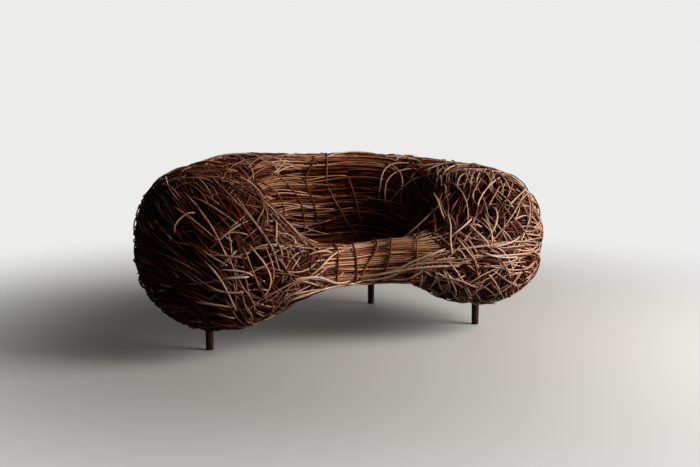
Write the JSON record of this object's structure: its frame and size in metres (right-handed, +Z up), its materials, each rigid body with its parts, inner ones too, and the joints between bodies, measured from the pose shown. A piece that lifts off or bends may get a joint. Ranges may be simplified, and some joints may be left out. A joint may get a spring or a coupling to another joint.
{
  "type": "rattan easy chair",
  "caption": "Low nest-shaped easy chair: a kidney ring of packed rattan canes swelling into round arms, with a dished cane seat, a bound front roll and short turned wooden legs",
  "frame": {"origin": "on the floor, under the middle of the plan", "axes": "+Z up, the seat opens towards -Y, +X to the right of someone facing the chair"},
  "size_m": [1.6342, 0.9153, 0.6863],
  "materials": {
    "leg_wood": "satin stained",
    "peg_wood": "bare",
    "rattan_pole": "peeled, oiled",
    "pale_cane": "satin, oiled",
    "laid_cane": "satin, oiled",
    "packed_cane": "satin, oiled"
  },
  "bodies": {
    "root": {"back_inner_canes": "laid_cane", "back_outer_wall": "packed_cane", "back_tie_1": "laid_cane", "back_tie_2": "laid_cane", "back_tie_3": "laid_cane", "back_tie_4": "laid_cane", "back_tie_5": "laid_cane", "back_tie_6": "laid_cane", "base_pole": "rattan_pole", "dowel_front_left": "peg_wood", "dowel_front_right": "peg_wood", "dowel_rear_left": "peg_wood", "dowel_rear_right": "peg_wood", "front_roll_canes": "laid_cane", "hoop_back_left": "rattan_pole", "hoop_back_right": "rattan_pole", "hoop_front_leg_left": "rattan_pole", "hoop_front_leg_right": "rattan_pole", "hoop_notch_left": "rattan_pole", "hoop_notch_right": "rattan_pole", "hoop_rear_leg_left": "rattan_pole", "hoop_rear_leg_right": "rattan_pole", "hoop_side_left": "rattan_pole", "hoop_side_right": "rattan_pole", "left_arm_cane_1": "pale_cane", "left_arm_cane_2": "pale_cane", "left_arm_cane_3": "pale_cane", "left_arm_cane_4": "pale_cane", "left_arm_inner_wall": "packed_cane", "left_arm_outer_wall": "packed_cane", "leg_front_left": "leg_wood", "leg_front_right": "leg_wood", "leg_rear_left": "leg_wood", "leg_rear_right": "leg_wood", "outer_belt_pole": "rattan_pole", "right_arm_cane_1": "pale_cane", "right_arm_cane_2": "pale_cane", "right_arm_cane_3": "pale_cane", "right_arm_cane_4": "pale_cane", "right_arm_inner_wall": "packed_cane", "right_arm_outer_wall": "packed_cane", "rim_cane_1": "pale_cane", "rim_cane_2": "pale_cane", "rim_cane_3": "pale_cane", "roll_wrap_1": "pale_cane", "roll_wrap_2": "pale_cane", "roll_wrap_3": "pale_cane", "roll_wrap_4": "pale_cane", "roll_wrap_5": "pale_cane", "seat_bearer_1": "rattan_pole", "seat_bearer_2": "rattan_pole", "seat_bearer_3": "rattan_pole", "seat_canes": "laid_cane", "seat_rail_front": "rattan_pole", "seat_rail_rear": "rattan_pole", "top_rim_pole": "rattan_pole"}
  },
  "joints": []
}
